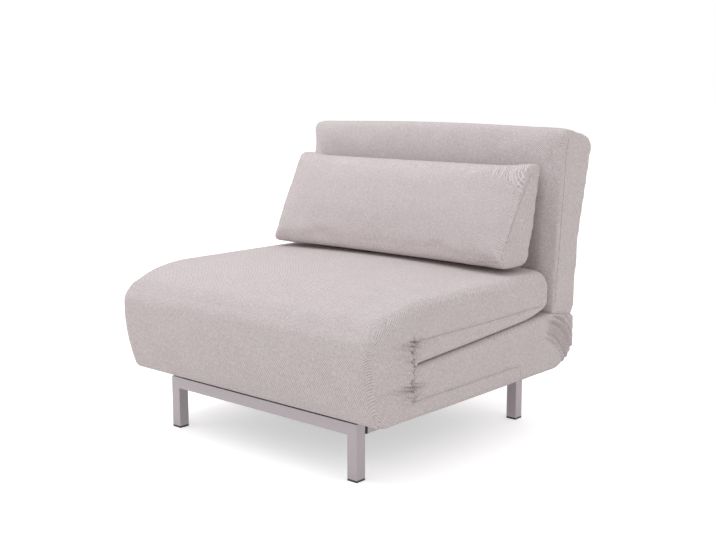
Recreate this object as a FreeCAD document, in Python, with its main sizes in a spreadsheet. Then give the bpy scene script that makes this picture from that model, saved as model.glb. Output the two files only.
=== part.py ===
import FreeCAD, Part
import math
import os
from FreeCAD import Placement, Rotation, Vector

# Convertible chair bed: a C-folded mattress on two square-tube leg frames.
# Millimetres. X runs across the seat, the front faces -Y, Z is up, and the floor is Z = 0.
# The upper seat cushion is the foot section: it unfolds forward about the nose of the seat.
# The back reclines flat behind the seat, and the front leg frame slides out on two rails.

doc = FreeCAD.newDocument("ConvertibleChairBed")
sheet = doc.addObject("Spreadsheet::Sheet", "Sizes")

SIZES = [
    ("half_width", 448, "half the width over the cushions"),
    ("nose_front", -461.5, "foremost line of the folded front"),
    ("back_rear", 461.5, "rearmost line of the back"),
    ("cushion_front", -441, "front of the two seat cushions, behind the front fold"),
    ("cushion_rear", 258, "rear of the two seat cushions"),
    ("under_side", 160, "underside of the seat"),
    ("parting_front", 279.1, "height of the parting plane between the cushions at the fold axis"),
    ("parting_slope", 3.55, "rise of the parting plane to the rear, degrees"),
    ("seat_top", 440, "seat height along its side edges"),
    ("seat_crown", 14, "rise of the seat at its middle"),
    ("fold_axis_y", -446, "axis on which the foot section unfolds"),
    ("fold_axis_z", 288, "its height"),
    ("back_axis_y", 265, "axis on which the back reclines"),
    ("back_axis_z", 305, "its height"),
    ("back_bottom", 308, "lower end of the back cushion"),
    ("back_lean", 35, "how far the front of the back leans over lean_rise"),
    ("lean_rise", 408, "height over which the lean is measured"),
    ("edge_round", 18, "rounding along the cushion sides"),
    ("cover_wall", 7, "fabric with its wadding"),
    ("play", 0.5, "gap between a cover and its foam"),
    ("tube", 30, "square tube of the legs"),
    ("wall", 2, "tube wall"),
    ("leg_half", 339, "half the width over the legs"),
    ("leg_top", 143, "top of the leg frames"),
    ("front_leg_y", -390, "front face of the front leg frame"),
    ("rear_leg_y", 279, "front face of the rear leg frame"),
    ("glide", 5, "height of a foot glide below its tube"),
    ("plug", 22, "how far a glide reaches into its tube"),
    ("plug_play", 0.3, "gap round the plug of a glide"),
    ("inner_tube", 24, "sliding rail tube"),
    ("rail_front", -350, "front end of the fixed rail"),
    ("slide_rear", 240, "rear end of the sliding rail"),
    ("collar", 6, "length of the nylon collar on the fixed rail"),
    ("collar_play", 0.4, "gap between collar and sliding rail"),
    ("riser_height", 17, "blocks between the rails and the seat"),
    ("pad_height", 5.5, "rubber pads on the front leg frame"),
    ("frame_half", 415, "half the width over the cushion frames"),
    ("frame_tube", 25, "tube of the cushion frames"),
    ("slat", 9, "thickness of the slats"),
    ("plate", 4, "thickness of the hinge plates"),
    ("plate_gap", 0.5, "gap between the two plates of a hinge"),
    ("pin_radius", 4, "hinge pins"),
    ("pin_play", 0.08, "gap round a hinge pin"),
]
for row, (alias, value, note) in enumerate(SIZES, start=1):
    sheet.set("A%d" % row, alias)
    sheet.set("B%d" % row, str(value))
    sheet.set("C%d" % row, note)
    sheet.setAlias("B%d" % row, alias)
doc.recompute()

subparts = []


def size(alias):
    return float(sheet.get(alias))


def bind(item, prop, expression):
    item.setExpression(prop, expression.replace("#", "Sizes."))


def block(name, lengths, corner):
    """A box whose three lengths and lower corner follow the sheet."""
    box = doc.addObject("Part::Box", name)
    for prop, expression in zip(("Length", "Width", "Height"), lengths):
        bind(box, prop, expression)
    for axis, expression in zip("xyz", corner):
        bind(box, "Placement.Base." + axis, expression)
    return box


def keep(item, label):
    item.Label = label
    subparts.append(item)
    return item


def cut(name, base, tool):
    result = doc.addObject("Part::Cut", name)
    result.Base = base
    result.Tool = tool
    return result


def feature(name, shape, placement=None):
    item = doc.addObject("Part::Feature", name)
    item.Shape = shape
    if placement:
        item.Placement = placement
    return item


# Outlines of the cushions. A corner radius of 0 leaves a sharp corner, and a bulge curves the
# edge that starts at the same corner.


def outline(points, radii, bulges, offset=0.0, open_edges=()):
    """Counter-clockwise outline as edges in the XY plane, moved in by offset.

    Open edges move out instead, so that a cavity runs through that end of its cushion."""
    count = len(points)
    sides = []
    for i in range(count):
        start, end = Vector(*points[i]), Vector(*points[(i + 1) % count])
        along = (end - start).normalize()
        inward = Vector(-along.y, along.x, 0)
        move = -20.0 if i in open_edges else offset
        sides.append((start + inward * move, along))
    entries, exits, edges = [], [], []
    for i in range(count):
        (here, before), (there, after) = sides[i - 1], sides[i]
        cross = before.x * after.y - before.y * after.x
        gap = there - here
        corner = here + before * ((gap.x * after.y - gap.y * after.x) / cross)
        half_turn = math.acos(before.dot(after)) / 2
        radius = max(radii[i] - offset, 0) if radii[i] else 0
        entries.append(corner - before * radius * math.tan(half_turn))
        exits.append(corner + after * radius * math.tan(half_turn))
        if radius:
            inward = (after - before).normalize()
            middle = corner + inward * radius * (1 / math.cos(half_turn) - 1)
            edges.append((i, Part.Arc(entries[i], middle, exits[i])))
    for i in range(count):
        start, end = exits[i], entries[(i + 1) % count]
        if bulges[i]:
            outward = Vector(sides[i][1].y, -sides[i][1].x, 0)
            middle = (start + end) / 2 + outward * bulges[i]
            edges.append((i + 0.5, Part.Arc(start, middle, end)))
        else:
            edges.append((i + 0.5, Part.LineSegment(start, end)))
    edges.sort(key=lambda edge: edge[0])
    return Part.Wire([curve.toShape() for _, curve in edges])


def across(wire, half):
    """A side outline, drawn as (Y, Z), run across the seat from -half to half."""
    stand = FreeCAD.Matrix(0, 0, 1, -half, 1, 0, 0, 0, 0, 1, 0, 0, 0, 0, 0, 1)
    return Part.Face(wire.transformGeometry(stand)).extrude(Vector(2 * half, 0, 0))


def front_view(half, side_z, rise, low, y_range, draw=0):
    """Front view of a cushion: a crowned top over sides that swell by draw between their ends."""
    y = y_range[0]
    low_left, low_right = Vector(-half + draw, y, low), Vector(half - draw, y, low)
    left, right = Vector(-half + draw, y, side_z), Vector(half - draw, y, side_z)
    edges = [Part.LineSegment(low_left, low_right), Part.LineSegment(low_right, right)]
    edges += [Part.Arc(right, Vector(0, y, side_z + rise), left)]
    edges += [Part.LineSegment(left, low_left)]
    if draw:
        middle = (low + side_z) / 2
        edges[1] = Part.Arc(low_right, Vector(half, y, middle), right)
        edges[3] = Part.Arc(left, Vector(-half, y, middle), low_left)
    wire = Part.Wire([edge.toShape() for edge in edges])
    return Part.Face(wire).extrude(Vector(0, y_range[1] - y, 0))


def plan_view(half, draw, y_range, run, low):
    """Plan view of a cushion whose sides swell by draw between front and rear, run along a vector."""
    front, rear = y_range
    middle = (front + rear) / 2
    corners = [
        Vector(-half + draw, front, low),
        Vector(half - draw, front, low),
        Vector(half - draw, rear, low),
        Vector(-half + draw, rear, low),
    ]
    edges = [
        Part.LineSegment(corners[0], corners[1]),
        Part.Arc(corners[1], Vector(half, middle, low), corners[2]),
        Part.LineSegment(corners[2], corners[3]),
        Part.Arc(corners[3], Vector(-half, middle, low), corners[0]),
    ]
    wire = Part.Wire([edge.toShape() for edge in edges])
    return Part.Face(wire).extrude(run)


def soften(shape, radius, half, flat_y=(), flat_z=()):
    """Round the long edges of both sides of a cushion, but not those on the planes given."""
    chosen = []
    for edge in shape.Edges:
        box = edge.BoundBox
        on_side = min(abs(box.XMin), abs(box.XMax)) > half - 16 and box.XMin * box.XMax > 0
        flat = any(abs(box.YMin - y) + abs(box.YMax - y) < 0.02 for y in flat_y)
        flat = flat or any(abs(box.ZMin - z) + abs(box.ZMax - z) < 0.02 for z in flat_z)
        if on_side and not flat:
            chosen.append(edge)
    return shape.makeFillet(radius, chosen)


def round_top(shape, side_z, inset):
    """Round the front lip and the free end of a seat cushion into its crowned top."""
    for low_y, high_y, radius in ((-300, -170, 300), (200, 300, 46)):
        chosen = [
            edge for edge in shape.Edges
            if edge.BoundBox.XLength > size("half_width")
            and edge.BoundBox.ZMin > side_z - 14
            and low_y < edge.BoundBox.YMin and edge.BoundBox.YMax < high_y
        ]
        shape = shape.makeFillet(radius - inset, chosen)
    return shape


half = size("half_width")
front, rear = size("cushion_front"), size("cushion_rear")
under = size("under_side")
slope = math.tan(math.radians(size("parting_slope")))
cover_wall, play = size("cover_wall"), size("play")
edge_round = size("edge_round")
crown = size("seat_crown")


def parting(y):
    """Height of the parting plane, on which the two seat cushions lie."""
    return size("parting_front") + slope * (y - size("fold_axis_y"))


def both_sides(shape):
    """A shape with its mirror image across the middle of the seat."""
    return shape.fuse(shape.mirror(Vector(0, 0, 0), Vector(1, 0, 0)))


def hinge_notches(y_range, z_range):
    """The room that a cover leaves round the plates of the hinges at its two sides."""
    width = 24
    inner = size("frame_half") - 8
    notch = Part.makeBox(
        width, y_range[1] - y_range[0], z_range[1] - z_range[0],
        Vector(inner, y_range[0], z_range[0]),
    )
    return both_sides(notch)


def section_cushion(points, radii, open_edges, top, cut_ends, notches):
    """Cover of a seat cushion, and the room inside it."""
    draw = 6
    bulges = [0] * len(points)
    body = across(outline(points, radii, bulges), half + 1)
    plan = plan_view(half, draw, (-470, 300), Vector(0, 0, 800), 100)
    body = body.common(plan)
    room = across(
        outline(points, radii, bulges, cover_wall, open_edges), half - cover_wall - draw
    )
    if top:
        body = body.common(front_view(half + 1, top, crown, 100, (-500, 500)))
        room = room.common(front_view(half, top - cover_wall, crown, 100, (-500, 500)))
        body = round_top(body, top, 0)
        room = round_top(room, top - cover_wall, cover_wall)
    body = soften(body, edge_round, half, cut_ends)
    cover = body.cut(room).cut(notches)
    return cover, room


# Seat base cushion

base_points = [
    (front, 186), (-405, under), (rear, under), (rear, parting(rear) - 1),
    (front, parting(front) - 1),
]
base_cover, base_room = section_cushion(
    base_points, [0, 60, 0, 0, 0], (2, 4), None, (front, rear),
    hinge_notches((front - 5, front + 36), (250, 300)).fuse(
        hinge_notches((rear - 10, rear + 5), (285, 340))
    ),
)
keep(feature("BaseCover", base_cover), "base_cover")

# Foot section cushion, folded on top of the base: its seat side is the underside of the bed

foot_points = [
    (front, parting(front) + 1), (rear, parting(rear) + 1), (rear - 12, 470),
    (-140, 470), (-422, 405), (front, 390),
]
foot_cover, foot_room = section_cushion(
    foot_points, [0, 24, 0, 0, 90, 0], (5,), size("seat_top"), (front,),
    hinge_notches((front - 5, front + 17), (270, 300)),
)
keep(feature("FootCover", foot_cover), "foot_cover")

# Front fold: the padded cover that rounds the nose and closes both cushions in front

nose = size("nose_front")
fold_points = [(front - 0.5, 391), (nose, 352), (nose, 248), (front - 0.5, 187)]
front_fold = across(outline(fold_points, [0, 60, 60, 0], [0] * 4), half - 4)
front_fold = soften(front_fold, 12, half - 4, flat_y=(front - 0.5,))
front_fold = front_fold.cut(hinge_notches((front - 16.5, front), (245, 345)))
keep(feature("FrontFoldCover", front_fold), "front_fold_cover")

# Rear fold: the loose cover that runs from the underside of the seat up to the back

fold_top = size("back_bottom") - 0.5
rear_points = [(rear + 0.5, under), (384, under), (384, fold_top), (rear + 0.5, fold_top)]
rear_outer = across(outline(rear_points, [0, 62, 0, 0], [0] * 4), half - 4)
rear_outer = soften(rear_outer, 16, half - 4, flat_y=(rear + 0.5,), flat_z=(fold_top,))
rear_room = across(outline(rear_points, [0, 62, 0, 0], [0] * 4, 5, (2, 3)), half - 10)
keep(feature("RearFoldCover", rear_outer.cut(rear_room)), "rear_fold_cover")

# Back cushion, leaning to the rear

back_foot = size("back_bottom")
back_points = [(262, back_foot), (384, back_foot), (461.5, 735), (461.5, 784), (299, 818)]
back_radii = [0, 0, 60, 34, 40]
back_bulges = [0, -12, 0, 0, 0]
back_top, back_crown, back_draw = 805, 12, 5
back_body = across(outline(back_points, back_radii, back_bulges), half + 1)
back_body = back_body.common(
    front_view(half, back_top, back_crown, 250, (200, 500), back_draw)
)
back_body = soften(back_body, edge_round, half, flat_z=(back_foot,))
back_room = across(
    outline(back_points, back_radii, back_bulges, cover_wall, (0,)),
    half - cover_wall - back_draw,
)
back_room = back_room.common(
    front_view(half, back_top - cover_wall, back_crown, 250, (200, 500))
)
back_cover = back_body.cut(back_room).cut(hinge_notches((255, 280), (300, 324)))
keep(feature("BackCover", back_cover), "back_cover")

# Lumbar pillow: thick in the middle, drawn in to its two end panels, and leaning on the back

pillow_half = 411
pillow_points = [(62, 455.5), (236, 455.5), (284, 710), (104, 664)]
pillow_lean = Vector(0, 48, 254.5)


def pillow(inset):
    """The pillow's outer form, or the room inside its cover, with all its edges rounded."""
    side = outline(pillow_points, [0] * 4, [0] * 4, inset)
    reach = pillow_half - inset
    front_end, rear_end = 76 + inset, 198 - inset
    corners = [
        Vector(-reach, front_end), Vector(reach, front_end),
        Vector(reach, rear_end), Vector(-reach, rear_end),
    ]
    edges = [
        Part.Arc(corners[0], Vector(0, pillow_points[0][0] + inset), corners[1]),
        Part.LineSegment(corners[1], corners[2]),
        Part.Arc(corners[2], Vector(0, pillow_points[1][0] - inset), corners[3]),
        Part.LineSegment(corners[3], corners[0]),
    ]
    plan = Part.Wire([edge.toShape() for edge in edges])
    plan.translate(Vector(0, 0, pillow_points[0][1]) - pillow_lean * 0.2)
    swell = Part.Face(plan).extrude(pillow_lean * 1.4)
    form = across(side, reach + 5).common(swell)
    return form.makeFillet(22 - inset, form.Edges)


keep(feature("PillowCover", pillow(0).cut(pillow(6))), "pillow_cover")
keep(feature("PillowFilling", pillow(6 + play)), "pillow_filling")

# What is inside the cushions. Each set is drawn on its own plane: s runs along the cushion
# from its hinge, and h runs from its sleeping side into it.

frame_tube, slat = size("frame_tube"), size("slat")
frame_wall = 1.5
foam_half = size("frame_half") - 3
moving_half = size("frame_half") + size("plate") + size("plate_gap")
base_plane = Placement(Vector(0, size("fold_axis_y"), 0), Rotation())
foot_plane = Placement(
    Vector(0, size("fold_axis_y"), size("parting_front")),
    Rotation(Vector(1, 0, 0), size("parting_slope")),
)
lean = math.degrees(math.atan2(size("back_lean"), size("lean_rise")))
back_plane = Placement(Vector(0, 262, back_foot), Rotation(Vector(1, 0, 0), 90 - lean))


def span_box(reach, s_range, h_range, plane=None):
    """A box between two stretches of s and h, symmetric in X."""
    box = Part.makeBox(
        2 * reach, s_range[1] - s_range[0], h_range[1] - h_range[0],
        Vector(-reach, s_range[0], h_range[0]),
    )
    if plane:
        box.Placement = plane
    return box


def ring_frame(reach, s_range, low):
    """A welded rectangle of square tube."""
    def ring(skin, width):
        s_low, s_high = s_range[0] + skin, s_range[1] - skin
        h_range = (low + skin, low + frame_tube - skin)
        outer = span_box(reach - skin, (s_low, s_high), h_range)
        return outer.cut(span_box(reach - skin - width, (s_low + width, s_high - width), h_range))

    return ring(0, frame_tube).cut(ring(frame_wall, frame_tube - 2 * frame_wall))


def slat_set(reach, s_range, low, count, width, thick):
    """Beech slats, or straps, joined by two woven tapes."""
    step = (s_range[1] - s_range[0] - width) / (count - 1)
    slats = [
        span_box(reach, (s_range[0] + i * step, s_range[0] + i * step + width), (low, low + thick))
        for i in range(count)
    ]
    tape_top = low + thick
    for x in (-240, 210):
        slats.append(
            Part.makeBox(30, s_range[1] - s_range[0], 1.2, Vector(x, s_range[0], tape_top))
        )
    return slats[0].fuse(slats[1:]).removeSplitter()


base_low = under + cover_wall + play
base_s = (68, rear - 11 - size("fold_axis_y"))
keep(feature("BaseFrame", ring_frame(size("frame_half"), base_s, base_low), base_plane), "base_frame")
slat_low = base_low + frame_tube
keep(
    feature("BaseSlats", slat_set(foam_half, base_s, slat_low, 8, 60, slat), base_plane),
    "base_slats",
)
foam_low = slat_low + slat + 1.7
base_room.translate(Vector(0, 0, -play))
base_foam = base_room.common(span_box(foam_half, base_s, (foam_low, 400), base_plane))
keep(feature("BaseFoam", base_foam), "base_foam")

foot_s, foot_low = (16, 688), 55
foot_frame = ring_frame(moving_half, foot_s, foot_low)
keep(feature("FootFrame", foot_frame, foot_plane), "foot_frame")
slat_low = foot_low + frame_tube
keep(
    feature("FootSlats", slat_set(foam_half, foot_s, slat_low, 8, 60, slat), foot_plane),
    "foot_slats",
)
foot_room.translate(Vector(0, -play, -play))
seat_foam = foot_room.common(
    span_box(foam_half, foot_s, (slat_low + slat + 1.7, 300), foot_plane)
)
bed_foam = span_box(foam_half, foot_s, (cover_wall + 1.5, foot_low - play), foot_plane)
foot_room.translate(Vector(0, 0, 2 * play))
keep(feature("FootSeatFoam", seat_foam), "foot_seat_foam")
keep(feature("FootBedFoam", foot_room.common(bed_foam)), "foot_bed_foam")

back_s, back_low = (20, 466), -80
back_frame = ring_frame(moving_half, back_s, back_low)
keep(feature("BackFrame", back_frame, back_plane), "back_frame")
strap_low = back_low + frame_tube
keep(
    feature("BackStraps", slat_set(foam_half, back_s, strap_low, 6, 50, 2), back_plane),
    "back_straps",
)
front_foam = span_box(foam_half, (14, 520), (strap_low + 3.7, 20), back_plane)
rear_foam = span_box(foam_half, (14, 520), (-220, back_low - play), back_plane)
back_room.translate(Vector(0, 0, -play))
keep(feature("BackFoam", back_room.common(front_foam)), "back_foam")
back_room.translate(Vector(0, -play, 0))
keep(feature("BackRearFoam", back_room.common(rear_foam)), "back_rear_foam")

# Hinges: two plates side by side at each end of an axis, on a headed pin


def plane_of(body, role):
    return next(item for item in body.Origin.OriginFeatures if item.Role == role)


def hinge_plate(label, x, eye, eye_radius, pad, hole_radius):
    """A plate that tapers from its pad, four (Y, Z) corners, to the eye round the pin."""
    centre = Vector(*eye)
    tangents = []
    for corner, side in ((Vector(*pad[-1]), 1), (Vector(*pad[0]), -1)):
        reach = corner - centre
        swing = side * math.acos(eye_radius / reach.Length)
        angle = math.atan2(reach.y, reach.x) + swing
        tangents.append(centre + Vector(math.cos(angle), math.sin(angle)) * eye_radius)
    middle = sum((Vector(*corner) for corner in pad), Vector()) / len(pad)
    far = centre + (centre - middle).normalize() * eye_radius
    route = [tangents[1]] + [Vector(*corner) for corner in pad] + [tangents[0]]
    body = doc.addObject("PartDesign::Body", label)
    sketch = body.newObject("Sketcher::SketchObject", label + "_outline")
    sketch.AttachmentSupport = [(plane_of(body, "YZ_Plane"), "")]
    sketch.MapMode = "FlatFace"
    bind(sketch, "AttachmentOffset.Base.z", x)
    for start, end in zip(route, route[1:]):
        sketch.addGeometry(Part.LineSegment(start, end), False)
    sketch.addGeometry(Part.Arc(tangents[0], far, tangents[1]), False)
    sketch.addGeometry(Part.Circle(centre, Vector(0, 0, 1), hole_radius), False)
    pad_feature = body.newObject("PartDesign::Pad", label + "_plate")
    pad_feature.Profile = sketch
    bind(pad_feature, "Length", "#plate")
    keep(body, label)


def pin(label, side, eye):
    """A hinge pin with a head on each end, through both plates."""
    pieces = []
    for name, radius, start, length in (
        ("shaft", "#pin_radius", "#frame_half - 4", "2 * #plate + #plate_gap + 8"),
        ("inner_head", "#pin_radius + 2.5", "#frame_half - 4", "3.7"),
        ("outer_head", "#pin_radius + 2.5", "#frame_half + 2 * #plate + #plate_gap", "4"),
    ):
        piece = doc.addObject("Part::Cylinder", label + "_" + name)
        piece.Placement.Rotation = Rotation(Vector(0, 1, 0), 90 * side)
        bind(piece, "Radius", radius)
        bind(piece, "Height", length)
        bind(piece, "Placement.Base.x", "%d * (%s)" % (side, start))
        bind(piece, "Placement.Base.y", eye[0])
        bind(piece, "Placement.Base.z", eye[1])
        pieces.append(piece)
    fuse = doc.addObject("Part::MultiFuse", label)
    fuse.Shapes = pieces
    keep(fuse, label)


def pad_on(plane, s_range, h_range):
    """The four corners, counter-clockwise in (Y, Z), of a plate's seat on a cushion frame."""
    corners = [
        (s_range[0], h_range[0]), (s_range[1], h_range[0]),
        (s_range[1], h_range[1]), (s_range[0], h_range[1]),
    ]
    points = [plane.multVec(Vector(0, s, h)) for s, h in corners]
    return [(point.y, point.z) for point in points]


fold_eye = (size("fold_axis_y"), size("fold_axis_z"))
back_eye = (size("back_axis_y"), size("back_axis_z"))
base_tube = (base_low + 1, base_low + frame_tube - 1)
front_pad = pad_on(base_plane, (73, 113), base_tube)
rear_pad = pad_on(base_plane, (641, 691), base_tube)
foot_pad = pad_on(foot_plane, (21, 61), (foot_low + 1, foot_low + frame_tube - 1))
back_pad = pad_on(back_plane, (40, 90), (back_low + 1, back_low + frame_tube - 1))
PLATES = (
    # name, whether it moves, eye, eye radius, pad with its first corner after the eye
    ("fold_plate", False, fold_eye, 9, front_pad[3:] + front_pad[:3]),
    ("fold_arm", True, fold_eye, 9, foot_pad),
    ("back_plate", False, back_eye, 12, rear_pad[3:] + rear_pad[:3]),
    ("back_arm", True, back_eye, 12, back_pad),
)
for side, name in ((-1, "left"), (1, "right")):
    for plate, moves, eye, eye_radius, pad in PLATES:
        start = "#frame_half" + (" + #plate + #plate_gap" if moves else "")
        if side < 0:
            start = "-(%s + #plate)" % start
        hole = size("pin_radius") + (0 if moves else size("pin_play"))
        hinge_plate("%s_%s" % (plate, name), start, eye, eye_radius, pad, hole)
    pin("fold_pin_" + name, side, ("#fold_axis_y", "#fold_axis_z"))
    pin("back_pin_" + name, side, ("#back_axis_y", "#back_axis_z"))

# Leg frames and rails, of square tube


def hollow(label, lengths, corner, bore_lengths, bore_corner):
    tube = block(label + "_tube", lengths, corner)
    bore = block(label + "_bore", bore_lengths, bore_corner)
    keep(cut(label, tube, bore), label)


def leg_frame(where, front_face):
    """Two legs, the crossbar between them, and a glide in the foot of each leg."""
    leg_size = ("#tube", "#tube", "#leg_top - #glide")
    leg_bore = ("#tube - 2 * #wall", "#tube - 2 * #wall", "#leg_top - #glide - #wall")
    for side, x in (("left", "-#leg_half"), ("right", "#leg_half - #tube")):
        hollow(
            "%s_leg_%s" % (where, side), leg_size, (x, front_face, "#glide"),
            leg_bore, (x + " + #wall", front_face + " + #wall", "#glide"),
        )
        label = "%s_glide_%s" % (where, side)
        sole = block(label + "_sole", ("#tube", "#tube", "#glide"), (x, front_face, "0"))
        plug_size = "#tube - 2 * #wall - 2 * #plug_play"
        inset = " + #wall + #plug_play"
        plug = block(
            label + "_plug", (plug_size, plug_size, "#plug"),
            (x + inset, front_face + inset, "#glide"),
        )
        glide = doc.addObject("Part::Fuse", label)
        glide.Base = sole
        glide.Tool = plug
        keep(glide, label)
    hollow(
        where + "_crossbar",
        ("2 * #leg_half - 2 * #tube", "#tube", "#tube"),
        ("#tube - #leg_half", front_face, "#leg_top - #tube"),
        ("2 * #leg_half - 2 * #tube", "#tube - 2 * #wall", "#tube - 2 * #wall"),
        ("#tube - #leg_half", front_face + " + #wall", "#leg_top - #tube + #wall"),
    )


leg_frame("front", "#front_leg_y")
leg_frame("rear", "#rear_leg_y")
rail_low = "#leg_top - #tube"
slide_inset = "(#tube - #inner_tube) / 2"
bore = "#inner_tube - 2 * #wall"
mouth = "(#inner_tube + 2 * #collar_play)"
for side, x in (("left", "-#leg_half"), ("right", "#leg_half - #tube")):
    hollow(
        "fixed_rail_" + side,
        ("#tube", "#rear_leg_y - #rail_front", "#tube"), (x, "#rail_front", rail_low),
        ("#tube - 2 * #wall", "#rear_leg_y - #rail_front", "#tube - 2 * #wall"),
        (x + " + #wall", "#rail_front", rail_low + " + #wall"),
    )
    hollow(
        "rail_collar_" + side,
        ("#tube", "#collar", "#tube"), (x, "#rail_front - #collar", rail_low),
        (mouth, "#collar", mouth),
        (
            x + " + (#tube - %s) / 2" % mouth, "#rail_front - #collar",
            rail_low + " + (#tube - %s) / 2" % mouth,
        ),
    )
    slide_y = "#front_leg_y + #tube"
    hollow(
        "sliding_rail_" + side,
        ("#inner_tube", "#slide_rear - (%s)" % slide_y, "#inner_tube"),
        (x + " + " + slide_inset, slide_y, rail_low + " + " + slide_inset),
        (bore, "#slide_rear - (%s)" % slide_y, bore),
        (
            x + " + " + slide_inset + " + #wall", slide_y,
            rail_low + " + " + slide_inset + " + #wall",
        ),
    )
    for place, y in (("front", "-300"), ("rear", "180")):
        riser = block(
            "riser_%s_%s" % (place, side), ("#inner_tube", "40", "#riser_height"),
            (x + " + " + slide_inset, y, "#leg_top"),
        )
        keep(riser, "riser_%s_%s" % (place, side))
    rest = block(
        "rest_pad_" + side, ("30", "20", "#pad_height"),
        ({"left": "-300", "right": "270"}[side], "#front_leg_y + 5", "#leg_top"),
    )
    keep(rest, "rest_pad_" + side)
cloth = block("dust_cloth", ("600", "640", "1.5"), ("-300", "-395", "#under_side - 1.5"))
keep(cloth, "dust_cloth")

# Every object must have come out whole before anything is written

doc.recompute()
for item in doc.Objects:
    if "Invalid" in item.State or "Error" in item.State:
        raise RuntimeError("%s failed: %s" % (item.Label, item.State))
for item in subparts:
    if item.Shape.isNull() or not item.Shape.isValid() or not item.Shape.Solids:
        raise RuntimeError(item.Label + " has no valid solid")
os.makedirs("parts", exist_ok=True)
for item in subparts:
    item.Shape.exportStep("parts/%s.step" % item.Label)
print(len(subparts), "sub-parts")
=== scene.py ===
import math
import bmesh
import bpy
import numpy as np
from mathutils import Matrix, Vector
from mathutils.bvhtree import BVHTree


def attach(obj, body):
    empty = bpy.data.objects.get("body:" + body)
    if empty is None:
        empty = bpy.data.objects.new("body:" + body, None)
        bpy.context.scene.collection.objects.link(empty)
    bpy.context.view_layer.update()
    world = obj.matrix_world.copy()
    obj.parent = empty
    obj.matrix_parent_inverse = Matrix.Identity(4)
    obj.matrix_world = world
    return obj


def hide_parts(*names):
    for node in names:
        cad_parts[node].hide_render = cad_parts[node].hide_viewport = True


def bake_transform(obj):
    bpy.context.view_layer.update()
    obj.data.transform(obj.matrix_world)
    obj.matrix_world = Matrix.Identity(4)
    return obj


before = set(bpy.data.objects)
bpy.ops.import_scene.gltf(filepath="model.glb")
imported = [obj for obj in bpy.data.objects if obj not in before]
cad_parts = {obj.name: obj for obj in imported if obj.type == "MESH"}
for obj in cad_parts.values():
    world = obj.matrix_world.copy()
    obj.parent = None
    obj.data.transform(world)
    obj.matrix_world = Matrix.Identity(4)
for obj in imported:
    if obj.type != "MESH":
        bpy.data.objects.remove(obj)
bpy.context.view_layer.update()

# ---------------------------------------------------------------------------------------------
# Tweed upholstery. A basket weave of pale beige yarn crossed by a darker taupe yarn, brushed
# soft. The eye sees a fine grey speckle, a slight cloudiness and a dull sheen at the edges.


def linear(code):
    """A colour written as sRGB hex, turned linear, with alpha 1."""
    parts = [int(code[i:i + 2], 16) / 255 for i in (0, 2, 4)]
    return [p / 12.92 if p <= 0.04045 else ((p + 0.055) / 1.055) ** 2.4 for p in parts] + [1.0]


def add_node(tree, kind, settings=None, **links):
    """Adds one node, sets its attributes and sockets, and links the sockets given as outputs."""
    node = tree.nodes.new(kind)
    for name, value in (settings or {}).items():
        setattr(node, name, value)
    for name, value in links.items():
        key = int(name[1:]) if name[1:].isdigit() and name[0] == "i" else name.replace("_", " ")
        socket = node.inputs[key]
        if isinstance(value, bpy.types.NodeSocket):
            tree.links.new(value, socket)
        else:
            socket.default_value = value
    return node


def new_material(name):
    """An empty node material with its output, and the Principled shader that it shows."""
    material = bpy.data.materials.new(name)
    material.use_nodes = True
    tree = material.node_tree
    tree.nodes.clear()
    shader = add_node(tree, "ShaderNodeBsdfPrincipled")
    add_node(tree, "ShaderNodeOutputMaterial", Surface=shader.outputs["BSDF"])
    return material, tree, shader


def maths(tree, operation, *values):
    """One maths node; its values are numbers or outputs."""
    sockets = {f"i{number}": value for number, value in enumerate(values)}
    return add_node(tree, "ShaderNodeMath", {"operation": operation}, **sockets).outputs[0]


THREAD = 0.0030     # 2.5 mm yarn, drawn at 3 mm so that the weave shows at this distance


def ramp(tree, factor, stops):
    """A colour ramp of (place, sRGB hex) stops."""
    node = add_node(tree, "ShaderNodeValToRGB", Fac=factor)
    while len(node.color_ramp.elements) < len(stops):
        node.color_ramp.elements.new(0.5)
    for element, (place, code) in zip(node.color_ramp.elements, stops):
        element.position = place
        element.color = linear(code)
    return node.outputs["Color"]


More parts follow.
